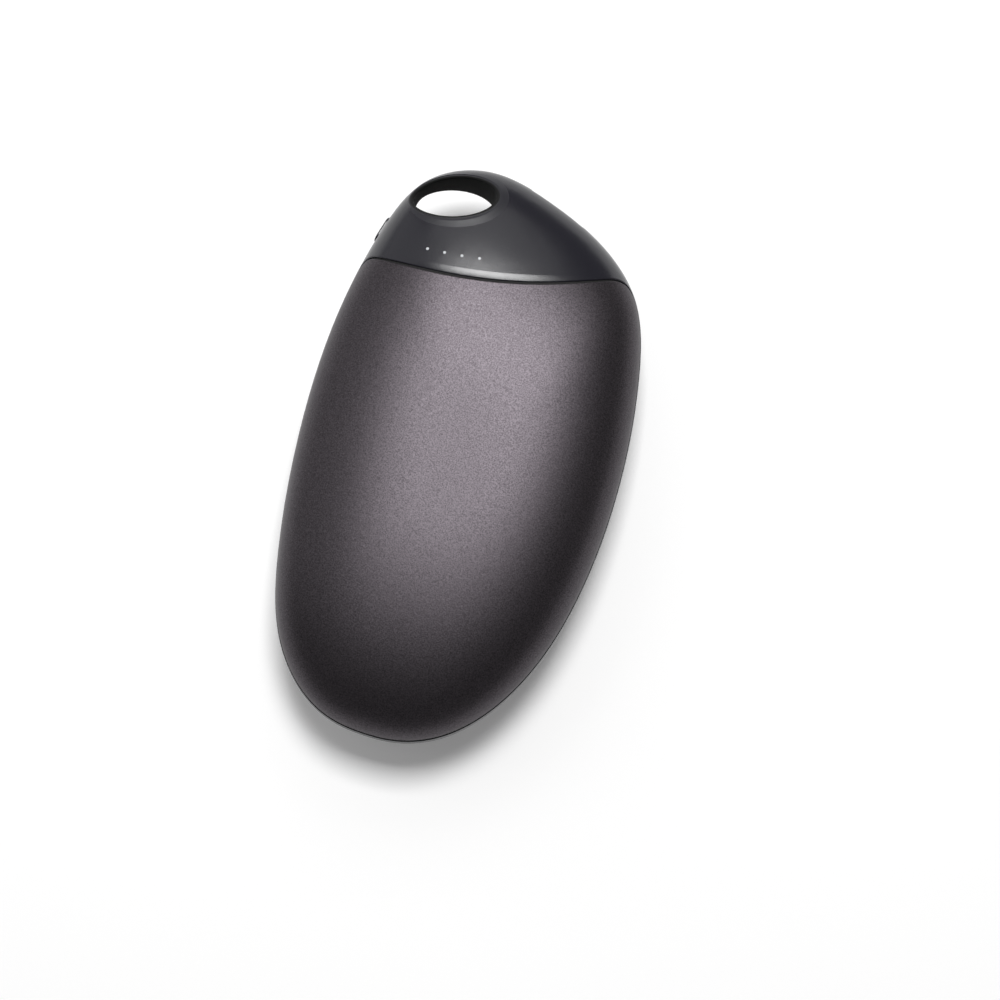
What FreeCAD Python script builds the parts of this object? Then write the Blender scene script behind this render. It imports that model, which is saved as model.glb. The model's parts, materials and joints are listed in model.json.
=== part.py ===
import FreeCAD, Part

import math
import os

from FreeCAD import Vector

# Rechargeable hand warmer: a pebble shaped case with a metal cover on each face, held in one
# plastic frame that makes the cap, the lanyard loop and the band between the covers.
# X runs across, Y along towards the cap, Z up through the front cover, in millimetres.
# The case is drawn about its middle plane and lifted at the end to lie on Z = 0.

# Cells and the room left round them, which set the size of the case
CELL_DIAMETER = 18.4
CELL_LENGTH = 65.2
CELL_GAP = 0.6
CELL_SHIFT = -0.5
SIDE_MARGIN = 14.5
TAIL_MARGIN = 24.5
NECK_LENGTH = 3.75
CAP_LENGTH = 26.55

# Case walls and the stack from a cell to the outside of a cover
COVER_WALL = 1.0
COVER_FIT = 0.1
FRAME_WALL = 2.4
HEATER_THICKNESS = 0.25
FOAM_THICKNESS = 2.75
HOLDER_WALL = 0.8

# Case form
OUTLINE_FORM = ((-9.0, -100.0), (33.5, -93.5), (68.0, -72.5), (91.5, -37.5), (100.0, 3.0), (96.0, 42.5),
                (82.5, 67.5), (54.5, 83.5), (16.5, 94.5), (-25.5, 100.0), (-61.5, 92.0), (-82.0, 70.5),
                (-95.0, 40.0), (-100.0, -7.0), (-94.0, -47.5), (-76.5, -79.0), (-46.5, -95.5))
SIDE_FULLNESS = 0.66
CROWN_SHARE = 0.2
CROWN_SHIFT = -4.0

# Seam between cap and covers
SEAM_SHIFT = -12.4
SEAM_RADIUS = 78.0
SEAM_GAP = 0.4
SEAL_RECESS = 0.4
BAND_HEIGHT = 3.6
COVER_CORNER = 5.0
COVER_EDGE = 0.3
EDGE_ROLL = 5.0
ROLL_WIDTH = 1.2
ROLL_CORNER = 4.0
EDGE_ROUND = 0.25
LIP_DEPTH = 3.0
LIP_HEIGHT = 7.5
DRAFT = 0.004

# Lanyard hole
HOLE_LAND = 1.52
HOLE_FROM_TOP = 8.8
HOLE_LENGTH = 17.2
HOLE_WIDTH = 9.8
HOLE_TILT = 14.0
HOLE_RIM = 0.5
HOLE_WALL = 1.6

# Heater films, foam pads and cell holders
HEATER_WIDTH = 40.0
HEATER_END = 6.5
FOAM_WIDTH = 26.0
FOAM_END = 3.5
HOLDER_DEPTH = 9.0
HOLDER_CORNER = 6.0
HOLDER_LIP = 1.0
WINDOW_DIAMETER = 14.0
CELL_FIT = 0.05
INSULATOR_THICKNESS = 0.2
TERMINAL_DIAMETER = 8.0
NICKEL_WIDTH = 7.0
NICKEL_THICKNESS = 0.2
RIB_THICKNESS = 2.0
RIB_HEIGHT = 6.0

# Circuit board and its screws
BOARD_THICKNESS = 1.2
BOARD_INSET = 5.2
BOARD_RISE = 0.3
BOARD_GAP = 0.6
SCREW_SITES = ((-5.1, 1.9), (15.4, 2.4), (32.7, 2.4))
SCREW_DIAMETER = 1.6
SCREW_FIT = 0.05
SCREW_LENGTH = 5.4
HEAD_DIAMETER = 3.6
HEAD_HEIGHT = 1.2
BOSS_DIAMETER = 4.4

# Sockets
USB_A_SITE = (23.0, 93.0)
USB_A_WIDTH = 13.1
USB_A_HEIGHT = 5.7
USB_A_DEPTH = 14.0
USB_C_SITE = (61.5, 79.0)
USB_C_WIDTH = 8.9
USB_C_HEIGHT = 3.3
USB_C_DEPTH = 7.3
SHELL_WALL = 0.3
SOCKET_RECESS = 1.0
SOCKET_FIT = 0.2

# Power button and side switch
BUTTON_SITE = (-81.5, 71.5)
BUTTON_LENGTH = 6.0
BUTTON_HEIGHT = 3.0
BUTTON_PROUD = 0.35
BUTTON_FIT = 0.15
BUTTON_SEAT = 3.2
BUTTON_TRAVEL = 0.35
FLANGE_THICKNESS = 0.8
FLANGE_EDGE = 1.0
STEM_LENGTH = 1.1
SWITCH_SIZE = 3.5
SWITCH_LENGTH = 6.0
PLUNGER_DIAMETER = 1.8
PLUNGER_OUT = 0.8
PLUNGER_IN = 1.0
PLAY = 0.05

# Indicator lights
LED_COUNT = 4
LED_PITCH = 3.6
LED_START = -3.5
LED_RISE = 4.6
LED_HEIGHT = 0.7
LIGHT_TIP = 0.7
LIGHT_PIN = 1.8
LIGHT_RECESS = 0.1

# Leads
BATTERY_LEAD = 1.2
HEATER_LEAD = 0.8
HEATER_LEAD_SHIFT = 11.5
HEATER_LEAD_PITCH = 1.6

# Worked out from the above
BODY_LENGTH = TAIL_MARGIN + CELL_LENGTH + NECK_LENGTH + CAP_LENGTH
BODY_WIDTH = 2 * CELL_DIAMETER + CELL_GAP + 2 * SIDE_MARGIN
HOLDER_TOP = CELL_DIAMETER / 2 + HOLDER_WALL
HALF_THICKNESS = HOLDER_TOP + FOAM_THICKNESS + HEATER_THICKNESS + COVER_WALL
TOP_END = BODY_LENGTH / 2
SEAM_Y = TOP_END - CAP_LENGTH
CELL_TOP = SEAM_Y - NECK_LENGTH
CELL_BASE = CELL_TOP - CELL_LENGTH
CELL_X = (CELL_SHIFT - (CELL_DIAMETER + CELL_GAP) / 2, CELL_SHIFT + (CELL_DIAMETER + CELL_GAP) / 2)
HOLDER_WIDTH = 2 * CELL_DIAMETER + CELL_GAP + 2 * HOLDER_WALL
BOARD_TOP = -USB_A_HEIGHT / 2
BOARD_UNDER = BOARD_TOP - BOARD_THICKNESS
BOARD_START = SEAM_Y + BOARD_RISE
SEAM_CENTRE = Vector(SEAM_SHIFT, SEAM_Y + SEAM_RADIUS, 0)
CROWN = Vector(0, CROWN_SHIFT, 0)
REACH = BODY_LENGTH + BODY_WIDTH
UP = Vector(0, 0, 1)


def slab(x0, x1, y0, y1, z0, z1):
    return Part.makeBox(x1 - x0, y1 - y0, z1 - z0, Vector(x0, y0, z0))


def rod(diameter, start, way):
    return Part.makeCylinder(diameter / 2, way.Length, start, way)


def drafted(diameter, start, way):
    """Moulded pin with a slight draft."""
    radius = diameter / 2
    return Part.makeCone(radius, radius - DRAFT * way.Length, way.Length, start, way)


def joined(shapes):
    return shapes[0].multiFuse(shapes[1:]).removeSplitter()


def mirrored(shape):
    return shape.mirror(Vector(0, 0, 0), UP)


# Case form: one closed outline carried up to a flat crown on each face

def closed_curve(points):
    curve = Part.BSplineCurve()
    curve.interpolate(Points=points, PeriodicFlag=True)
    return curve


def fitted_outline():
    rough = [Vector(x * BODY_WIDTH / 200, y * BODY_LENGTH / 200, 0) for x, y in OUTLINE_FORM]
    drawn = closed_curve(rough).discretize(700)
    xs = [point.x for point in drawn]
    ys = [point.y for point in drawn]
    stretch_x = BODY_WIDTH / (max(xs) - min(xs))
    stretch_y = BODY_LENGTH / (max(ys) - min(ys))
    mid_x = (max(xs) + min(xs)) / 2
    mid_y = (max(ys) + min(ys)) / 2
    return closed_curve([Vector((p.x - mid_x) * stretch_x, (p.y - mid_y) * stretch_y, 0) for p in rough])


OUTLINE = fitted_outline()


def outward(parameter):
    along = OUTLINE.tangent(parameter)[0]
    return Vector(along.y, -along.x, 0)


def outline(inset):
    stations = OUTLINE.getKnots()[:-1]
    return closed_curve([OUTLINE.value(t) - outward(t) * inset for t in stations])


def side_profile():
    """Half section of the case from rear to front crown, as shares of the outline and of the half thickness."""
    shoulder = CROWN_SHARE + (1 - CROWN_SHARE) * SIDE_FULLNESS
    lower = [Vector(CROWN_SHARE, -1, 0), Vector(shoulder, -1, 0), Vector(1, -SIDE_FULLNESS, 0)]
    upper = [Vector(pole.x, -pole.y, 0) for pole in reversed(lower)]
    curve = Part.BSplineCurve()
    curve.buildFromPolesMultsKnots(lower + upper, (4, 2, 4), (0.0, 1.0, 2.0), False, 3)
    return curve


def pebble(inset):
    """The case form, drawn in by the inset all round."""
    ring = outline(inset)
    side = side_profile()
    half = HALF_THICKNESS - inset
    poles = []
    for edge in ring.getPoles():
        arm = edge - CROWN
        poles.append([CROWN + arm * pole.x + UP * (half * pole.y) for pole in side.getPoles()])
    surface = Part.BSplineSurface()
    surface.buildFromPolesMultsKnots(poles, ring.getMultiplicities(), side.getMultiplicities(), ring.getKnots(),
                                     side.getKnots(), True, False, ring.Degree, side.Degree)
    ends = (side.FirstParameter, side.LastParameter)
    crowns = [Part.Face(Part.Wire(surface.vIso(end).toShape())) for end in ends]
    shell = Part.Shell([surface.toShape()] + crowns)
    shell.sewShape()
    solid = Part.Solid(shell)
    if solid.Volume < 0:
        solid.reverse()
    return solid


def prism(curve):
    face = Part.Face(Part.Wire(curve.toShape()))
    face.translate(UP * -REACH)
    return face.extrude(UP * 2 * REACH)


def seam_column(grow):
    return Part.makeCylinder(SEAM_RADIUS + grow, 2 * REACH, SEAM_CENTRE - UP * REACH)


def cover_bay(grow, corner_radius):
    """Space of the front cover below the seam, grown by the seam gap for the recess it sits in."""
    bottom = BAND_HEIGHT / 2 + SEAM_GAP - grow
    half = 0.9 * SEAM_RADIUS
    bay = slab(SEAM_SHIFT - half, SEAM_SHIFT + half, -REACH, SEAM_CENTRE.y, bottom, REACH)
    bay = bay.cut(seam_column(-grow))
    corner = [edge for edge in bay.Edges
              if edge.BoundBox.ZMax < bottom + 0.01 and edge.Curve.TypeId == "Part::GeomCircle"]
    return bay.makeFillet(corner_radius, corner)


def hole_oval(grow, x):
    oval = Part.Ellipse(Vector(0, 0, 0), HOLE_LENGTH / 2 + grow, HOLE_WIDTH / 2 + grow).toShape()
    oval.rotate(Vector(0, 0, 0), UP, HOLE_TILT)
    oval.translate(Vector(x, TOP_END - HOLE_FROM_TOP, 0))
    return oval


def hole_shift():
    """Place across at which the hole leaves its land to the left corner of the cap."""
    rim = OUTLINE.toShape()
    x = -BODY_WIDTH / 8
    for step in range(25):
        x += HOLE_LAND - rim.distToShape(hole_oval(0, x))[0]
    return x


HOLE_SHIFT = hole_shift()


def hole_prism(grow):
    oval = hole_oval(grow, HOLE_SHIFT)
    oval.translate(UP * -REACH)
    return Part.Face(Part.Wire(oval)).extrude(UP * 2 * REACH)


CASE = pebble(0)
COVER_INSIDE = pebble(COVER_WALL)
LIP_OUTSIDE = pebble(COVER_WALL + COVER_FIT)
HEATER_INSIDE = pebble(COVER_WALL + HEATER_THICKNESS)
BAY = cover_bay(0, COVER_CORNER)
RECESS = cover_bay(SEAM_GAP, COVER_CORNER + SEAM_GAP)


# Places on the wall of the case: local X along the wall, local Y inwards

def wall_site(site):
    near = Vector(site[0] * BODY_WIDTH / 200, site[1] * BODY_LENGTH / 200, 0)
    return OUTLINE.parameter(near)


def at_wall(shape, site):
    parameter = wall_site(site)
    along = OUTLINE.tangent(parameter)[0]
    made = shape.copy()
    made.rotate(Vector(0, 0, 0), UP, math.degrees(math.atan2(along.y, along.x)))
    made.translate(OUTLINE.value(parameter))
    return made


def pill(length, height, y0, y1, z=0.0):
    radius = height / 2
    half = length / 2 - radius
    corners = [Vector(-half, y0, z - radius), Vector(half, y0, z - radius), Vector(half, y0, z + radius),
               Vector(-half, y0, z + radius)]
    edges = [Part.LineSegment(corners[0], corners[1]).toShape(),
             Part.Arc(corners[1], Vector(half + radius, y0, z), corners[2]).toShape(),
             Part.LineSegment(corners[2], corners[3]).toShape(),
             Part.Arc(corners[3], Vector(-half - radius, y0, z), corners[0]).toShape()]
    return Part.Face(Part.Wire(edges)).extrude(Vector(0, y1 - y0, 0))


# Covers and seals

def front_cover():
    cover = CASE.cut(COVER_INSIDE).common(BAY)
    rim = [edge for edge in cover.Edges if on_surface(edge, CASE) and on_surface(edge, BAY)]
    return cover.makeFillet(COVER_EDGE, rim)


def on_surface(edge, solid):
    middle = edge.valueAt((edge.FirstParameter + edge.LastParameter) / 2)
    point = Part.Vertex(middle)
    return min(face.distToShape(point)[0] for face in solid.Faces) < 0.001


def front_seal():
    ring = pebble(SEAL_RECESS).cut(LIP_OUTSIDE)
    return ring.common(RECESS.cut(BAY))


# Frame with cap, loop and band

def rolled_case():
    """Case whose cap rolls down towards the seam, as far as a fillet that the seam cuts off."""
    soft = cover_bay(SEAM_GAP + ROLL_WIDTH - EDGE_ROLL, ROLL_CORNER)
    skin = CASE.cut(soft).cut(mirrored(soft))
    paper = FreeCAD.newDocument("skin")
    base = paper.addObject("Part::Feature", "base")
    base.Shape = skin
    rounds = paper.addObject("Part::Fillet", "rounds")
    rounds.Base = base
    rounds.Edges = [row for number, edge in enumerate(skin.Edges) for row in edge_rolls(number + 1, edge)]
    paper.recompute()
    return rounds.Shape


def edge_rolls(number, edge):
    """Wide roll along the cap, which fades into a fine round along the sides."""
    box = edge.BoundBox
    side = BAND_HEIGHT / 2 + EDGE_ROLL - ROLL_WIDTH + 0.01
    low = min(abs(box.ZMin), abs(box.ZMax))
    level = abs(edge.valueAt(edge.FirstParameter).z)
    if edge.Curve.TypeId == "Part::GeomCircle" or box.ZMin * box.ZMax < 0 or not on_surface(edge, CASE):
        return []
    if box.ZMax - box.ZMin < 0.001:
        return [(number, EDGE_ROUND, EDGE_ROUND)]
    if low > side:
        return [(number, EDGE_ROLL, EDGE_ROLL)]
    if level < side:
        return [(number, EDGE_ROUND, EDGE_ROLL)]
    return [(number, EDGE_ROLL, EDGE_ROUND)]


def rounded_skin():
    """Outside of the frame: the rolled cap, fine rounds along the seam and the band, a soft hole rim."""
    skin = rolled_case().cut(RECESS).cut(mirrored(RECESS))
    skin = skin.makeFillet(EDGE_ROUND, [edge for edge in skin.Edges if at_recess(edge)])
    hole = hole_prism(0)
    skin = skin.cut(hole)
    rims = [edge for edge in skin.Edges if near_case(edge) and on_surface(edge, hole)]
    return skin.makeFillet(min(HOLE_RIM, HOLE_LAND / 3), rims)


def near_case(edge):
    """Whether the edge lies on the outside, as a mouth does, or no deeper than the roll takes it."""
    middle = Part.Vertex(edge.valueAt((edge.FirstParameter + edge.LastParameter) / 2))
    return min(face.distToShape(middle)[0] for face in CASE.Faces) < ROLL_WIDTH


def at_recess(edge):
    """Whether the edge runs round the mouth of a recess, not along its floor."""
    on_recess = on_surface(edge, RECESS) or on_surface(edge, mirrored(RECESS))
    return on_recess and near_case(edge) and edge.Curve.TypeId != "Part::GeomCircle"


def screw_points():
    return [Vector(SEAM_SHIFT + x, SEAM_Y + y, BOARD_TOP) for x, y in SCREW_SITES]


def frame_room():
    """Hollow of the frame, with the loop wall and the screw bosses left standing in it."""
    room = pebble(FRAME_WALL).cut(hole_prism(HOLE_WALL))
    for point in screw_points():
        foot = Vector(point.x, point.y, -HALF_THICKNESS)
        room = room.cut(drafted(BOSS_DIAMETER, foot, UP * (BOARD_UNDER + HALF_THICKNESS)))
    return room.cut(at_wall(button_block(), BUTTON_SITE))


def button_block():
    half = BUTTON_LENGTH / 2 + FLANGE_EDGE
    height = BUTTON_HEIGHT / 2 + FLANGE_EDGE
    return slab(-half, half, -BUTTON_SEAT, BUTTON_SEAT, -height, height)


def frame_lip():
    """Lip inside the covers, deep along the seam and as high as the sides need."""
    window = slab(-REACH, REACH, -REACH, SEAM_CENTRE.y, LIP_HEIGHT, REACH).cut(seam_column(LIP_DEPTH))
    return LIP_OUTSIDE.cut(window).cut(mirrored(window)).cut(hole_prism(0))


def holder_ribs():
    """Ribs that hold the cell holders at both sides and at the tail."""
    inside = pebble(FRAME_WALL / 2)
    half = RIB_THICKNESS / 2
    height = RIB_HEIGHT / 2
    left = CELL_SHIFT - HOLDER_WIDTH / 2
    right = CELL_SHIFT + HOLDER_WIDTH / 2
    tail = CELL_BASE - HOLDER_LIP - INSULATOR_THICKNESS
    ribs = [slab(CELL_SHIFT - half, CELL_SHIFT + half, -REACH, tail, -height, height)]
    for y in (CELL_BASE + HOLDER_DEPTH / 2, CELL_TOP - HOLDER_DEPTH / 2):
        ribs.append(slab(-REACH, left, y - half, y + half, -height, height))
        ribs.append(slab(right, REACH, y - half, y + half, -height, height))
    return [rib.common(inside) for rib in ribs]


def wall_openings():
    fit = 2 * SOCKET_FIT
    reach = USB_C_DEPTH
    usb_a = slab(-(USB_A_WIDTH + fit) / 2, (USB_A_WIDTH + fit) / 2, -reach, reach,
                 -(USB_A_HEIGHT + fit) / 2, (USB_A_HEIGHT + fit) / 2)
    usb_c = pill(USB_C_WIDTH + fit, USB_C_HEIGHT + fit, -reach, reach, usb_c_level())
    button = pill(BUTTON_LENGTH + 2 * BUTTON_FIT, BUTTON_HEIGHT + 2 * BUTTON_FIT, -reach, reach)
    return [at_wall(usb_a, USB_A_SITE), at_wall(usb_c, USB_C_SITE), at_wall(button, BUTTON_SITE)]


def main_frame():
    frame = rounded_skin().fuse(frame_lip()).cut(frame_room())
    frame = frame.multiFuse(holder_ribs())
    cuts = wall_openings() + lead_notches()
    for point in screw_points():
        depth = SCREW_LENGTH - BOARD_THICKNESS + SCREW_FIT
        cuts.append(rod(SCREW_DIAMETER + 2 * SCREW_FIT, Vector(point.x, point.y, BOARD_UNDER), UP * -depth))
    for point in led_points():
        cuts.append(drafted(LIGHT_TIP + 2 * PLAY, point, UP * (HALF_THICKNESS - BOARD_TOP)))
    for tool in cuts:
        frame = frame.cut(tool)
    return frame


# Cells with their holders, films and pads

def cell(x):
    can = CELL_LENGTH - INSULATOR_THICKNESS
    body = rod(CELL_DIAMETER, Vector(x, CELL_BASE, 0), Vector(0, can, 0))
    rims = [edge for edge in body.Edges if edge.Curve.TypeId == "Part::GeomCircle"]
    body = body.makeFillet(HOLDER_WALL / 2, rims)
    terminal = rod(TERMINAL_DIAMETER, Vector(x, CELL_BASE, 0), Vector(0, CELL_LENGTH, 0))
    return body.fuse(terminal)


def cell_insulators():
    rings = []
    for x in CELL_X:
        start = Vector(x, CELL_TOP - INSULATOR_THICKNESS, 0)
        way = Vector(0, INSULATOR_THICKNESS, 0)
        rings.append(rod(CELL_DIAMETER - HOLDER_WALL, start, way).cut(rod(TERMINAL_DIAMETER, start, way)))
    return Part.makeCompound(rings)


def cell_holder(end, way):
    """Holder over one end of both cells; the way is +1 at the top and -1 at the base."""
    deep = end - way * HOLDER_DEPTH
    outer = end + way * (INSULATOR_THICKNESS + HOLDER_LIP)
    half = HOLDER_WIDTH / 2
    low = min(deep, outer)
    high = max(deep, outer)
    block = slab(CELL_SHIFT - half, CELL_SHIFT + half, low, high, -HOLDER_TOP, HOLDER_TOP)
    corners = [edge for edge in block.Edges if edge.BoundBox.YLength > HOLDER_DEPTH / 2]
    block = block.makeFillet(HOLDER_CORNER, corners)
    for x in CELL_X:
        block = block.cut(rod(CELL_DIAMETER + 2 * CELL_FIT, Vector(x, deep, 0), Vector(0, end - deep, 0)))
        block = block.cut(rod(WINDOW_DIAMETER, Vector(x, deep, 0), Vector(0, outer - deep, 0)))
    slot = NICKEL_WIDTH / 2 + HOLDER_WALL / 2
    block = block.cut(slab(CELL_X[0], CELL_X[1], min(end, outer), max(end, outer), -slot, slot))
    channel = BATTERY_LEAD / 2 + HOLDER_WALL / 2
    return block.cut(slab(CELL_SHIFT - channel, CELL_SHIFT + channel, low, high, -REACH, -slot))


def nickel_strip(end, way):
    """Strip that joins the two cells, with a foot on which the lead is soldered."""
    outer = end + way * NICKEL_THICKNESS
    half = NICKEL_WIDTH / 2
    low = min(end, outer)
    high = max(end, outer)
    return slab(CELL_X[0] - half, CELL_X[1] + half, low, high, -half, half)


def lower_nickel_strip():
    foot = BATTERY_LEAD / 2
    y = CELL_BASE
    tab = slab(CELL_SHIFT - foot, CELL_SHIFT + foot, y - NICKEL_THICKNESS, y, lead_level() - foot, 0)
    return joined([nickel_strip(CELL_BASE, -1), tab])


def plan_sheet(width, y0, y1, corner):
    sheet = slab(CELL_SHIFT - width / 2, CELL_SHIFT + width / 2, y0, y1, 0, REACH)
    return sheet.makeFillet(corner, [edge for edge in sheet.Edges if edge.BoundBox.ZLength > REACH / 2])


def front_heater():
    film = COVER_INSIDE.cut(HEATER_INSIDE)
    return film.common(plan_sheet(HEATER_WIDTH, CELL_BASE - HEATER_END, heater_top(), HOLDER_CORNER))


def heater_top():
    return CELL_TOP - HEATER_LEAD


def front_foam_pad():
    pad = plan_sheet(FOAM_WIDTH, CELL_BASE + FOAM_END, CELL_TOP - FOAM_END, FOAM_END)
    return HEATER_INSIDE.common(pad).cut(slab(-REACH, REACH, -REACH, REACH, -REACH, HOLDER_TOP))


def thermistor():
    x = CELL_SHIFT
    bead = slab(x - 1.5, x + 1.5, heater_top() - 2.0, heater_top(), HOLDER_TOP + 4 * PLAY, REACH)
    return bead.common(HEATER_INSIDE)


# Circuit board and what is soldered to it

def circuit_board():
    plan = prism(outline(BOARD_INSET)).common(slab(-REACH, REACH, BOARD_START, REACH, BOARD_UNDER, BOARD_TOP))
    plan = plan.cut(hole_prism(HOLE_WALL + BOARD_GAP))
    board = max(plan.Solids, key=lambda solid: solid.Volume)
    holes = [rod(SCREW_DIAMETER + BOARD_GAP, point, UP * -BOARD_THICKNESS) for point in screw_points()]
    return board.cut(holes)


def board_screws():
    screws = []
    for point in screw_points():
        shank = rod(SCREW_DIAMETER, point, UP * -SCREW_LENGTH)
        head = rod(HEAD_DIAMETER, point, UP * HEAD_HEIGHT)
        head = head.makeFillet(HEAD_HEIGHT / 3, [head.Edges[0]])
        arm = HEAD_DIAMETER / 3
        half = HEAD_DIAMETER / 12
        floor = point.z + HEAD_HEIGHT / 2
        top = point.z + HEAD_HEIGHT
        head = head.cut([slab(point.x - arm, point.x + arm, point.y - half, point.y + half, floor, top),
                         slab(point.x - half, point.x + half, point.y - arm, point.y + arm, floor, top)])
        screws.append(head.fuse(shank))
    return Part.makeCompound(screws)


def usb_a_shell():
    half = USB_A_WIDTH / 2
    top = USB_A_HEIGHT / 2
    back = SOCKET_RECESS + USB_A_DEPTH
    can = slab(-half, half, SOCKET_RECESS, back, -top, top)
    can = can.makeFillet(SHELL_WALL, [edge for edge in can.Edges if edge.BoundBox.YLength > USB_A_DEPTH / 2])
    inner = half - SHELL_WALL
    can = can.cut(slab(-inner, inner, SOCKET_RECESS, back - SHELL_WALL, SHELL_WALL - top, top - SHELL_WALL))
    return at_wall(can, USB_A_SITE)


def usb_a_levels():
    inner = USB_A_HEIGHT / 2 - SHELL_WALL
    return inner - USB_A_HEIGHT * 0.37, inner - USB_A_HEIGHT * 0.06


def usb_a_tongue():
    half = USB_A_WIDTH / 2 - SHELL_WALL
    top = USB_A_HEIGHT / 2 - SHELL_WALL
    back = SOCKET_RECESS + USB_A_DEPTH - SHELL_WALL
    low, high = usb_a_levels()
    block = slab(-half, half, back - USB_A_DEPTH * 0.3, back, -top, top)
    tongue = slab(1.0 - half, half - 1.0, SOCKET_RECESS + 1.0, back, low, high)
    return at_wall(joined([block, tongue]), USB_A_SITE)


def usb_a_contacts():
    low = usb_a_levels()[0]
    back = SOCKET_RECESS + USB_A_DEPTH * 0.7 - SHELL_WALL
    width = USB_A_WIDTH / 13
    strips = [slab(x - width / 2, x + width / 2, SOCKET_RECESS + 2.0, back, low - SHELL_WALL, low)
              for x in (-3.5 * width, -width, width, 3.5 * width)]
    return at_wall(Part.makeCompound(strips), USB_A_SITE)


def usb_c_level():
    return BOARD_TOP + USB_C_HEIGHT / 2


def usb_c_shell():
    level = usb_c_level()
    back = SOCKET_RECESS + USB_C_DEPTH
    can = pill(USB_C_WIDTH, USB_C_HEIGHT, SOCKET_RECESS, back, level)
    walls = 2 * SHELL_WALL
    room = pill(USB_C_WIDTH - walls, USB_C_HEIGHT - walls, SOCKET_RECESS, back - SHELL_WALL, level)
    return at_wall(can.cut(room), USB_C_SITE)


def usb_c_tongue():
    level = usb_c_level()
    back = SOCKET_RECESS + USB_C_DEPTH - SHELL_WALL
    walls = 2 * SHELL_WALL
    base = pill(USB_C_WIDTH - walls, USB_C_HEIGHT - walls, back - USB_C_DEPTH * 0.2, back, level)
    half = USB_C_WIDTH * 0.37
    thick = USB_C_HEIGHT * 0.1
    tongue = slab(-half, half, SOCKET_RECESS + 1.0, back, level - thick, level + thick)
    return at_wall(joined([base, tongue]), USB_C_SITE)


def usb_c_contacts():
    level = usb_c_level()
    thick = USB_C_HEIGHT * 0.1
    back = SOCKET_RECESS + USB_C_DEPTH * 0.8 - SHELL_WALL
    pitch = USB_C_WIDTH * 0.06
    strips = []
    for place in range(12):
        x = (place - 5.5) * pitch
        for low in (level - thick - 0.1, level + thick):
            strips.append(slab(x - pitch / 4, x + pitch / 4, SOCKET_RECESS + 1.5, back, low, low + 0.1))
    return at_wall(Part.makeCompound(strips), USB_C_SITE)


def chip(size, height, x, y, under):
    low = BOARD_UNDER - height if under else BOARD_TOP
    half = size / 2
    x += SEAM_SHIFT
    y += SEAM_Y
    body = slab(x - half, x + half, y - half, y + half, low, low + height)
    upright = [edge for edge in body.Edges if edge.BoundBox.ZLength > height / 2]
    return body.makeFillet(size / 12, upright)


def capacitors():
    return Part.makeCompound([chip(1.5, 1.2, x, 5.0, False) for x in (21.6, 23.8, 26.0, 28.2)])


# Power button and switch

def switch_face():
    return BUTTON_SEAT + PLAY + FLANGE_THICKNESS + STEM_LENGTH + PLAY + PLUNGER_OUT


def switch_level():
    return BOARD_TOP + SWITCH_SIZE / 2


def power_button():
    """Key through the wall, with the flange that stops it from falling out and the stem to the switch."""
    key = pill(BUTTON_LENGTH, BUTTON_HEIGHT, -BUTTON_PROUD, BUTTON_SEAT + 2 * PLAY)
    rim = [edge for edge in key.Edges if edge.BoundBox.YMax < -BUTTON_PROUD / 2]
    key = key.makeFillet(BUTTON_PROUD * 0.8, rim)
    half = BUTTON_LENGTH / 2 + FLANGE_EDGE - 2 * PLAY
    height = BUTTON_HEIGHT / 2 + FLANGE_EDGE - 2 * PLAY
    start = BUTTON_SEAT + PLAY
    flange = slab(-half, half, start, start + FLANGE_THICKNESS, -height, height)
    wide = BUTTON_LENGTH / 4
    low = switch_level() - PLUNGER_DIAMETER / 2 - PLAY
    end = start + FLANGE_THICKNESS + STEM_LENGTH
    stem = slab(-wide, wide, start, end, low, BUTTON_HEIGHT / 2)
    return at_wall(joined([key, flange, stem]), BUTTON_SITE)


def switch_body():
    face = switch_face()
    half = SWITCH_LENGTH / 2
    body = slab(-half, half, face, face + SWITCH_SIZE, BOARD_TOP, BOARD_TOP + SWITCH_SIZE)
    depth = PLUNGER_IN + BUTTON_TRAVEL + 4 * PLAY
    bore = rod(PLUNGER_DIAMETER + 2 * PLAY, Vector(0, face, switch_level()), Vector(0, depth, 0))
    return at_wall(body.cut(bore), BUTTON_SITE)


def switch_plunger():
    tip = Vector(0, switch_face() - PLUNGER_OUT, switch_level())
    return at_wall(rod(PLUNGER_DIAMETER, tip, Vector(0, PLUNGER_OUT + PLUNGER_IN, 0)), BUTTON_SITE)


# Indicator lights

def led_points():
    radius = SEAM_RADIUS - LED_RISE
    points = []
    for place in range(LED_COUNT):
        angle = (LED_START + place * LED_PITCH) / radius
        points.append(SEAM_CENTRE + Vector(radius * math.sin(angle), -radius * math.cos(angle), BOARD_TOP))
    return points


def indicator_leds():
    lights = []
    for point in led_points():
        half = LED_HEIGHT
        lights.append(slab(point.x - half, point.x + half, point.y - half, point.y + half, BOARD_TOP,
                           BOARD_TOP + LED_HEIGHT))
    return Part.makeCompound(lights)


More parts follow.
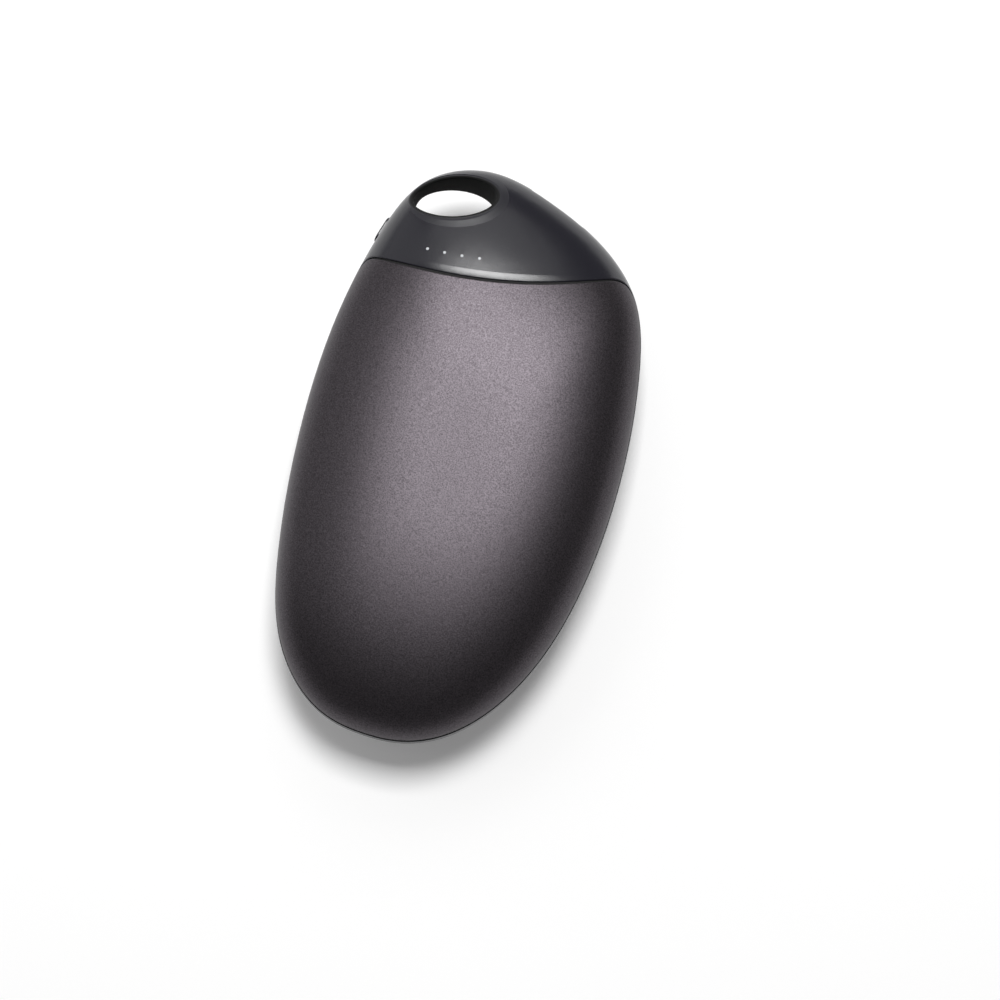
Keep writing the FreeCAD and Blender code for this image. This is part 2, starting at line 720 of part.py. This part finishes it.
def light_guide():
    """Four light pins joined by a bar, with thin tips through the cap."""
    below = pebble(FRAME_WALL + 4 * PLAY)
    flush = pebble(LIGHT_RECESS)
    low = UP * (LED_HEIGHT + 4 * PLAY)
    radius = SEAM_RADIUS - LED_RISE
    foot = Vector(SEAM_CENTRE.x, SEAM_CENTRE.y, BOARD_TOP) + low + UP * LIGHT_PIN
    bar = Part.makeCylinder(radius + LIGHT_PIN / 3, LIGHT_PIN, foot).cut(
        Part.makeCylinder(radius - LIGHT_PIN / 3, LIGHT_PIN, foot))
    first, last = led_points()[0], led_points()[-1]
    guide = bar.common(slab(first.x, last.x, -REACH, SEAM_CENTRE.y, -REACH, REACH))
    for point in led_points():
        tip = drafted(LIGHT_TIP, point, UP * (HALF_THICKNESS - BOARD_TOP)).common(flush)
        tip = tip.cut(slab(-REACH, REACH, -REACH, REACH, -REACH, foot.z + LIGHT_PIN / 2))
        pin = drafted(LIGHT_PIN, point + low, UP * HALF_THICKNESS).common(below)
        guide = guide.fuse(pin).fuse(tip)
    return guide


# Leads

def lead_level():
    return -(HOLDER_TOP - BATTERY_LEAD - HOLDER_WALL / 2)


def drawn_lead(diameter, edges):
    """Round lead along a chain of edges that starts along Y."""
    start = edges[0].valueAt(edges[0].FirstParameter)
    ring = Part.Wire(Part.makeCircle(diameter / 2, start, Vector(0, 1, 0)))
    return Part.Wire(edges).makePipeShell([ring], True, True)


def stepped_lead(diameter, x, y0, y1, y2, z0, z1):
    """Lead along Y at z0, round two bends at y1, and on along Y at z1 to y2."""
    bend = 1.5 * diameter
    rise = math.copysign(1.0, z1 - z0)
    turn = bend * math.sqrt(0.5)
    points = [Vector(x, y0, z0), Vector(x, y1 - bend, z0),
              Vector(x, y1 - bend + turn, z0 + rise * (bend - turn)), Vector(x, y1, z0 + rise * bend),
              Vector(x, y1, z1 - rise * bend), Vector(x, y1 + bend - turn, z1 - rise * (bend - turn)),
              Vector(x, y1 + bend, z1), Vector(x, y2, z1)]
    edges = [Part.LineSegment(points[0], points[1]).toShape(),
             Part.Arc(points[1], points[2], points[3]).toShape(),
             Part.LineSegment(points[3], points[4]).toShape(),
             Part.Arc(points[4], points[5], points[6]).toShape(),
             Part.LineSegment(points[6], points[7]).toShape()]
    return drawn_lead(diameter, edges)


def neck_middle():
    return (CELL_TOP + INSULATOR_THICKNESS + HOLDER_LIP + BOARD_START) / 2


def positive_lead():
    start = Vector(CELL_X[1], CELL_TOP + NICKEL_THICKNESS, BOARD_TOP + BATTERY_LEAD / 2)
    return rod(BATTERY_LEAD, start, Vector(0, BOARD_START + 2.0 - start.y, 0))


def negative_lead():
    end = BOARD_UNDER - BATTERY_LEAD / 2
    return stepped_lead(BATTERY_LEAD, CELL_SHIFT, CELL_BASE, neck_middle() + BATTERY_LEAD, BOARD_START + 4.0,
                        lead_level(), end)


def heater_leads(side, level, end):
    """Pair of leads from the front film down to the board, each with its solder joint on the film."""
    leads = []
    start = heater_top() - HEATER_LEAD
    for step in (-0.5, 0.5):
        x = CELL_SHIFT + side * HEATER_LEAD_SHIFT + step * HEATER_LEAD_PITCH
        lead = stepped_lead(HEATER_LEAD, x, start, neck_middle(), BOARD_START + 2.0, level, end)
        joint = drafted(HEATER_LEAD, Vector(x, start, level), UP * HALF_THICKNESS).common(HEATER_INSIDE)
        leads.append(lead.fuse(joint))
    return Part.makeCompound(leads)


def heater_lead_level():
    return HOLDER_TOP + HEATER_LEAD / 2 + PLAY


def front_heater_leads():
    return heater_leads(1, heater_lead_level(), BOARD_TOP + HEATER_LEAD / 2)


def rear_heater_leads():
    return mirrored(heater_leads(-1, heater_lead_level(), HEATER_LEAD / 2 - BOARD_UNDER))


def lead_notches():
    """Notches in the lip under the seam, in front and at the rear, for the two pairs of heater leads."""
    half = (HEATER_LEAD_PITCH + HEATER_LEAD) / 2 + 4 * PLAY
    low = heater_lead_level() - HEATER_LEAD
    front_x = CELL_SHIFT + HEATER_LEAD_SHIFT
    rear_x = CELL_SHIFT - HEATER_LEAD_SHIFT
    y0 = CELL_TOP - HOLDER_DEPTH
    y1 = neck_middle() + HEATER_LEAD
    return [slab(front_x - half, front_x + half, y0, y1, low, REACH),
            slab(rear_x - half, rear_x + half, y0, y1, -REACH, -low)]


def build():
    cover = front_cover()
    seal = front_seal()
    heater = front_heater()
    pad = front_foam_pad()
    return {
        "main_frame": main_frame(),
        "front_cover": cover,
        "rear_cover": mirrored(cover),
        "front_seal": seal,
        "rear_seal": mirrored(seal),
        "front_heater": heater,
        "rear_heater": mirrored(heater),
        "front_foam_pad": pad,
        "rear_foam_pad": mirrored(pad),
        "left_cell": cell(CELL_X[0]),
        "right_cell": cell(CELL_X[1]),
        "cell_insulators": cell_insulators(),
        "upper_cell_holder": cell_holder(CELL_TOP, 1),
        "lower_cell_holder": cell_holder(CELL_BASE, -1),
        "upper_nickel_strip": nickel_strip(CELL_TOP, 1),
        "lower_nickel_strip": lower_nickel_strip(),
        "circuit_board": circuit_board(),
        "board_screws": board_screws(),
        "usb_a_shell": usb_a_shell(),
        "usb_a_tongue": usb_a_tongue(),
        "usb_a_contacts": usb_a_contacts(),
        "usb_c_shell": usb_c_shell(),
        "usb_c_tongue": usb_c_tongue(),
        "usb_c_contacts": usb_c_contacts(),
        "power_button": power_button(),
        "switch_body": switch_body(),
        "switch_plunger": switch_plunger(),
        "indicator_leds": indicator_leds(),
        "light_guide": light_guide(),
        "controller_chip": chip(5.0, 0.9, 4.4, 5.2, True),
        "power_inductor": chip(6.6, 2.8, 22.0, 6.5, True),
        "capacitors": capacitors(),
        "thermistor": thermistor(),
        "positive_lead": positive_lead(),
        "negative_lead": negative_lead(),
        "front_heater_leads": front_heater_leads(),
        "rear_heater_leads": rear_heater_leads(),
    }


os.makedirs("parts", exist_ok=True)
for node, shape in build().items():
    shape.translate(UP * HALF_THICKNESS)
    shape.exportStep("parts/" + node + ".step")
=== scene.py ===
import json
import math

import bpy
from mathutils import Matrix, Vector
from mathutils.bvhtree import BVHTree


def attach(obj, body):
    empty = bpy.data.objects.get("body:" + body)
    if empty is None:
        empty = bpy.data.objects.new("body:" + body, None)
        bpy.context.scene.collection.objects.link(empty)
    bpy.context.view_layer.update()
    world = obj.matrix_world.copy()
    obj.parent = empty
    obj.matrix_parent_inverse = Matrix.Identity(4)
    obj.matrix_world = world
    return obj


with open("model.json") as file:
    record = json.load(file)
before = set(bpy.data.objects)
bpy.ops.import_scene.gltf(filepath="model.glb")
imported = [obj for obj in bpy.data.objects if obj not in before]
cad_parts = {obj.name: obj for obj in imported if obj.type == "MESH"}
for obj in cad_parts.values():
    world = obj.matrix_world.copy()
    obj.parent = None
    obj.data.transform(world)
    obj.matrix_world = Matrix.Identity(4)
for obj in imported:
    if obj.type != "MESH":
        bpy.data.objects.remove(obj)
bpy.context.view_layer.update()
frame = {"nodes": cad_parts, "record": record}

NODES = frame["nodes"]
MOUNTS = {row["name"]: row for row in frame["record"]["mounts"]}

# Lanyard hole: an oval through the cap
HOLE_CENTRE = Vector(MOUNTS["lanyard_hole"]["pos_m"])
HOLE_HALF_LENGTH = MOUNTS["lanyard_hole"]["dims"]["length_mm"] / 2000
HOLE_HALF_WIDTH = 0.57 * HOLE_HALF_LENGTH
HOLE_TILT = math.radians(14.0)

# Painted shade and a dull roughness on the hole's wall: they fade out between these two ovals, as shares
# of the hole's own
DARK_END = 1.06
PLAIN_START = 1.13
# Near-black painted shade for the wall of the hole, which is the same plastic lying in shadow
WALL_PAINTED_SHADE = (0.002, 0.002, 0.002)
WALL_ROUGHNESS = 0.95
NO_DEPTH = 1000

# Satin plastic of the cap and the band
PLASTIC_COLOUR = (0.0115, 0.011, 0.0165)
# The bead round the hole is the cap's plastic made slightly lighter: a painted highlight on the bead
RIM_PAINTED_HIGHLIGHT_COLOUR = (0.0125, 0.012, 0.0175)
PLASTIC_ROUGHNESS = 0.26
RIM_ROUGHNESS = 0.42
PLASTIC_GRAIN = {"scale": 3800.0, "spread": 0.12, "bump": 0.06, "depth": 0.00003}

# Blasted metal of the covers
METAL_COLOUR = (0.075, 0.0665, 0.074)
METAL_ROUGHNESS = 0.45
METAL_GRAIN = {"scale": 3600.0, "spread": 0.45, "bump": 0.35, "depth": 0.00005}

# Bead round the hole: it starts outside the hole's edge, rises at the lip and falls away outwards
BEAD_START = 0.0007
BEAD_WIDTH = 0.0024
BEAD_END_SHARE = 0.3
BEAD_HEIGHT = 0.00025
BEAD_LIP = 0.18
BEAD_FALL = 1.3
BEAD_SINK = 0.00002
BEAD_DEPTH = 0.0004
BEAD_MIDDLE = math.radians(-45.0)
BEAD_SPREAD = math.radians(115.0)
BEAD_STEPS = 120
BEAD_ROWS = 20

# Studio
FLOOR_HALF_SIDE = 3.0
FLOOR_COLOUR = (0.9, 0.9, 0.9)
FLOOR_GLOW = 0.15
WORLD_STRENGTH = 0.14
LIGHT_AIM = Vector((0, 0, 0.014))
CAMERA_PLACE = (0.030215, -0.090989, 0.504859)
CAMERA_AZIMUTH = math.radians(13.5)
CAMERA_ELEVATION = math.radians(80.0)
CAMERA_LENS = 88.0
CAMERA_SENSOR = 36.0


# Materials: plain shaders with a fine procedural grain in object space

def new_material(name):
    material = bpy.data.materials.new(name)
    material.use_nodes = True
    tree = material.node_tree
    return material, tree, tree.nodes["Principled BSDF"]


def add_noise(tree, scale):
    place = tree.nodes.new("ShaderNodeTexCoord")
    noise = tree.nodes.new("ShaderNodeTexNoise")
    noise.inputs["Scale"].default_value = scale
    noise.inputs["Detail"].default_value = 3.0
    noise.inputs["Roughness"].default_value = 0.6
    tree.links.new(place.outputs["Object"], noise.inputs["Vector"])
    return noise.outputs["Fac"]


def add_ramp(tree, source, stops):
    ramp = tree.nodes.new("ShaderNodeValToRGB")
    for element, (position, colour) in zip(ramp.color_ramp.elements, stops):
        element.position = position
        element.color = (*colour, 1)
    tree.links.new(source, ramp.inputs["Fac"])
    return ramp.outputs["Color"]


def add_bump(tree, shader, source, strength, distance):
    bump = tree.nodes.new("ShaderNodeBump")
    bump.inputs["Strength"].default_value = strength
    bump.inputs["Distance"].default_value = distance
    tree.links.new(source, bump.inputs["Height"])
    tree.links.new(bump.outputs["Normal"], shader.inputs["Normal"])


def scaled(colour, factor):
    return tuple(min(1.0, part * factor) for part in colour)


def grained(name, colour, roughness, metallic=0.0, scale=2500.0, spread=0.15, bump=0.1, depth=0.00005):
    """One shader whose colour wanders by the spread and whose surface has a fine grain."""
    material, tree, shader = new_material(name)
    noise = add_noise(tree, scale)
    stops = ((0.3, scaled(colour, 1 - spread)), (0.7, scaled(colour, 1 + spread)))
    tree.links.new(add_ramp(tree, noise, stops), shader.inputs["Base Color"])
    shader.inputs["Roughness"].default_value = roughness
    shader.inputs["Metallic"].default_value = metallic
    add_bump(tree, shader, noise, bump, depth)
    return material


def add_fade(tree, source, ends):
    """Value that goes from one end to the other just outside the wall of the hole."""
    fade = tree.nodes.new("ShaderNodeMapRange")
    fade.inputs["From Min"].default_value = DARK_END
    fade.inputs["From Max"].default_value = PLAIN_START
    fade.inputs["To Min"].default_value, fade.inputs["To Max"].default_value = ends
    tree.links.new(source, fade.inputs["Value"])
    return fade.outputs["Result"]


def paint_tunnel_shade(material):
    """Gives the wall of the lanyard hole a near-black painted shade and a dull roughness."""
    tree = material.node_tree
    shader = tree.nodes["Principled BSDF"]
    place = tree.nodes.new("ShaderNodeTexCoord")
    oval = tree.nodes.new("ShaderNodeMapping")
    oval.vector_type = "TEXTURE"
    oval.inputs["Location"].default_value = (HOLE_CENTRE.x, HOLE_CENTRE.y, 0)
    oval.inputs["Rotation"].default_value = (0, 0, HOLE_TILT)
    oval.inputs["Scale"].default_value = (HOLE_HALF_LENGTH, HOLE_HALF_WIDTH, NO_DEPTH)
    reach = tree.nodes.new("ShaderNodeVectorMath")
    reach.operation = "LENGTH"
    tree.links.new(place.outputs["Object"], oval.inputs["Vector"])
    tree.links.new(oval.outputs["Vector"], reach.inputs[0])
    away = reach.outputs["Value"]
    paint = tree.nodes.new("ShaderNodeMix")
    paint.data_type = "RGBA"
    # The wall's colour is painted shade, which fades into the plastic's own grained colour
    paint.inputs["A"].default_value = (*WALL_PAINTED_SHADE, 1)
    tree.links.new(add_fade(tree, away, (0.0, 1.0)), paint.inputs["Factor"])
    tree.links.new(shader.inputs["Base Color"].links[0].from_socket, paint.inputs["B"])
    tree.links.new(paint.outputs["Result"], shader.inputs["Base Color"])
    plain_roughness = shader.inputs["Roughness"].default_value
    dull = add_fade(tree, away, (WALL_ROUGHNESS, plain_roughness))
    tree.links.new(dull, shader.inputs["Roughness"])
    return material


MATERIALS = {
    "cover_metal": grained("cover_metal", METAL_COLOUR, METAL_ROUGHNESS, 1.0, **METAL_GRAIN),
    # The frame plastic gets painted shade on the lanyard hole's wall
    "frame_plastic": paint_tunnel_shade(
        grained("frame_plastic", PLASTIC_COLOUR, PLASTIC_ROUGHNESS, **PLASTIC_GRAIN)),
    "button_plastic": grained("button_plastic", PLASTIC_COLOUR, PLASTIC_ROUGHNESS, **PLASTIC_GRAIN),
    "seal_rubber": grained("seal_rubber", (0.006, 0.006, 0.006), 0.8),
    "heater_film": grained("heater_film", (0.5, 0.24, 0.05), 0.35, scale=600.0),
    "foam": grained("foam", (0.07, 0.07, 0.07), 0.9, scale=1800.0, bump=0.4, depth=0.0002),
    "cell_can": grained("cell_can", (0.05, 0.2, 0.32), 0.3, scale=300.0),
    "insulating_paper": grained("insulating_paper", (0.8, 0.8, 0.76), 0.9),
    "holder_plastic": grained("holder_plastic", (0.05, 0.05, 0.05), 0.6),
    "nickel": grained("nickel", (0.6, 0.59, 0.56), 0.3, 1.0),
    "board": grained("board", (0.02, 0.13, 0.06), 0.4, scale=900.0),
    "steel": grained("steel", (0.62, 0.62, 0.62), 0.28, 1.0, scale=1500.0, spread=0.08),
    "socket_plastic": grained("socket_plastic", (0.02, 0.02, 0.022), 0.5),
    "contact_metal": grained("contact_metal", (0.8, 0.6, 0.25), 0.25, 1.0, scale=1500.0, spread=0.08),
    "plunger_plastic": grained("plunger_plastic", (0.75, 0.75, 0.72), 0.5),
    "led": grained("led", (0.85, 0.82, 0.6), 0.3),
    "light_plastic": grained("light_plastic", (0.6, 0.62, 0.64), 0.35, scale=1500.0, spread=0.05),
    "chip_plastic": grained("chip_plastic", (0.03, 0.03, 0.03), 0.6),
    "capacitor": grained("capacitor", (0.45, 0.36, 0.25), 0.6),
    "red_lead": grained("red_lead", (0.45, 0.03, 0.02), 0.5),
    "black_lead": grained("black_lead", (0.02, 0.02, 0.02), 0.5),
    "white_lead": grained("white_lead", (0.7, 0.7, 0.68), 0.5),
}
# Bead round the hole: the cap's plastic, slightly lighter as a painted highlight, and rougher
RIM_PLASTIC_PAINTED_HIGHLIGHT = grained("rim_plastic_painted_highlight", RIM_PAINTED_HIGHLIGHT_COLOUR, RIM_ROUGHNESS, **PLASTIC_GRAIN)

for row in frame["record"]["subparts"]:
    mesh = NODES[row["node"]].data
    mesh.materials.clear()
    mesh.materials.append(MATERIALS[row["material_slot"]])


# Soft bead of the moulding round the lanyard hole, on both faces of the cap

def case_surface():
    mesh = NODES["main_frame"].data
    points = [vertex.co for vertex in mesh.vertices]
    return BVHTree.FromPolygons(points, [face.vertices for face in mesh.polygons])


def bead_point(surface, turn, share, face):
    """Foot of the bead on the case and its height there; the face is 1 in front and -1 at the rear."""
    across, up = math.cos(turn), math.sin(turn)
    edge = Vector((HOLE_HALF_LENGTH * across, HOLE_HALF_WIDTH * up, 0))
    way = Vector((across / HOLE_HALF_LENGTH, up / HOLE_HALF_WIDTH, 0)).normalized()
    away = min(1.0, abs(turn - BEAD_MIDDLE) / BEAD_SPREAD)
    fade = max(0.0, math.cos(away * math.pi / 2)) ** 0.5
    width = BEAD_WIDTH * (BEAD_END_SHARE + (1 - BEAD_END_SHARE) * fade)
    flat = edge + way * (BEAD_START + width * share)
    tilted = Vector((flat.x * math.cos(HOLE_TILT) - flat.y * math.sin(HOLE_TILT),
                     flat.x * math.sin(HOLE_TILT) + flat.y * math.cos(HOLE_TILT), 0))
    outside = HOLE_CENTRE + tilted + Vector((0, 0, face))
    foot = surface.ray_cast(outside, Vector((0, 0, -face)))[0]
    rise = min(1.0, share / BEAD_LIP)
    rise = rise * rise * (3 - 2 * rise)
    return foot, BEAD_HEIGHT * fade * rise * (1 - share) ** BEAD_FALL


def make_bead(name, surface, face):
    """Closed solid: a sheet on the bead, a second one inside the case, and a wall between their edges."""
    columns = BEAD_STEPS + 1
    rows = BEAD_ROWS + 1
    outer = []
    inner = []
    for step in range(columns):
        turn = BEAD_MIDDLE + BEAD_SPREAD * (2 * step / BEAD_STEPS - 1)
        for row in range(rows):
            foot, height = bead_point(surface, turn, row / BEAD_ROWS, face)
            outer.append(foot + Vector((0, 0, face * (height - BEAD_SINK))))
            inner.append(foot - Vector((0, 0, face * BEAD_DEPTH)))
    count = len(outer)
    faces = []
    for step in range(BEAD_STEPS):
        for row in range(BEAD_ROWS):
            corner = step * rows + row
            quad = (corner, corner + 1, corner + rows + 1, corner + rows)
            faces.append(quad)
            faces.append(tuple(count + index for index in reversed(quad)))
    ring = list(range(rows))
    ring += [step * rows + BEAD_ROWS for step in range(1, columns)]
    ring += [BEAD_STEPS * rows + row for row in range(BEAD_ROWS - 1, -1, -1)]
    ring += [step * rows for step in range(BEAD_STEPS - 1, 0, -1)]
    for here, after in zip(ring, ring[1:] + ring[:1]):
        faces.append((after, here, count + here, count + after))
    if face > 0:
        faces = [tuple(reversed(corners)) for corners in faces]
    mesh = bpy.data.meshes.new(name)
    mesh.from_pydata(outer + inner, [], faces)
    mesh.polygons.foreach_set("use_smooth", [True] * len(faces))
    # The bead's material carries a painted highlight: a slightly lighter copy of the cap's plastic
    mesh.materials.append(RIM_PLASTIC_PAINTED_HIGHLIGHT)
    bead = bpy.data.objects.new(name, mesh)
    bpy.context.scene.collection.objects.link(bead)
    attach(bead, "case")


SURFACE = case_surface()
make_bead("hole_bead_front", SURFACE, 1)
make_bead("hole_bead_rear", SURFACE, -1)


# Floor, lights and camera

def glow_when_seen(material, strength):
    """Lifts the floor to white for the camera and in reflections, without more light on the object."""
    tree = material.node_tree
    shader = tree.nodes["Principled BSDF"]
    rays = tree.nodes.new("ShaderNodeLightPath")
    total = rays.outputs["Is Camera Ray"]
    for kind in ("Is Glossy Ray", "Is Transmission Ray"):
        either = tree.nodes.new("ShaderNodeMath")
        either.operation = "MAXIMUM"
        tree.links.new(total, either.inputs[0])
        tree.links.new(rays.outputs[kind], either.inputs[1])
        total = either.outputs["Value"]
    amount = tree.nodes.new("ShaderNodeMath")
    amount.operation = "MULTIPLY"
    amount.inputs[1].default_value = strength
    tree.links.new(total, amount.inputs[0])
    shader.inputs["Emission Color"].default_value = (1, 1, 1, 1)
    tree.links.new(amount.outputs["Value"], shader.inputs["Emission Strength"])


def make_floor():
    side = FLOOR_HALF_SIDE
    corners = [(-side, -side, 0), (side, -side, 0), (side, side, 0), (-side, side, 0)]
    mesh = bpy.data.meshes.new("floor")
    mesh.from_pydata(corners, [], [(0, 1, 2, 3)])
    floor = bpy.data.objects.new("floor", mesh)
    bpy.context.scene.collection.objects.link(floor)
    paint = grained("floor_paint", FLOOR_COLOUR, 0.9, spread=0.01, bump=0.0)
    glow_when_seen(paint, FLOOR_GLOW)
    mesh.materials.append(paint)


def make_light(name, place, size, power):
    lamp = bpy.data.lights.new(name, "AREA")
    lamp.shape = "RECTANGLE"
    lamp.size, lamp.size_y = size
    lamp.energy = power
    holder = bpy.data.objects.new(name, lamp)
    holder.location = place
    holder.rotation_euler = (LIGHT_AIM - Vector(place)).to_track_quat("-Z", "Y").to_euler()
    bpy.context.scene.collection.objects.link(holder)


def make_world():
    world = bpy.data.worlds.new("studio")
    world.use_nodes = True
    background = world.node_tree.nodes["Background"]
    background.inputs["Color"].default_value = (1, 1, 1, 1)
    background.inputs["Strength"].default_value = WORLD_STRENGTH
    bpy.context.scene.world = world


def make_camera():
    data = bpy.data.cameras.new("camera")
    data.sensor_width = CAMERA_SENSOR
    data.lens = CAMERA_LENS
    camera = bpy.data.objects.new("camera", data)
    level = math.cos(CAMERA_ELEVATION)
    back = Vector((math.sin(CAMERA_AZIMUTH) * level, -math.cos(CAMERA_AZIMUTH) * level,
                   math.sin(CAMERA_ELEVATION)))
    camera.location = CAMERA_PLACE
    camera.rotation_euler = (-back).to_track_quat("-Z", "Y").to_euler()
    bpy.context.scene.collection.objects.link(camera)
    bpy.context.scene.camera = camera


make_floor()
make_world()
make_camera()
make_light("key", place=(-0.02, 0.39, 1.13), size=(0.40, 0.40), power=11.8)
make_light("fill", place=(-1.0, 0.35, 0.65), size=(1.2, 1.2), power=2.6)
make_light("back", place=(-0.15, 0.95, 0.8), size=(0.8, 0.5), power=1.3)
bpy.context.scene.view_settings.view_transform = "Standard"
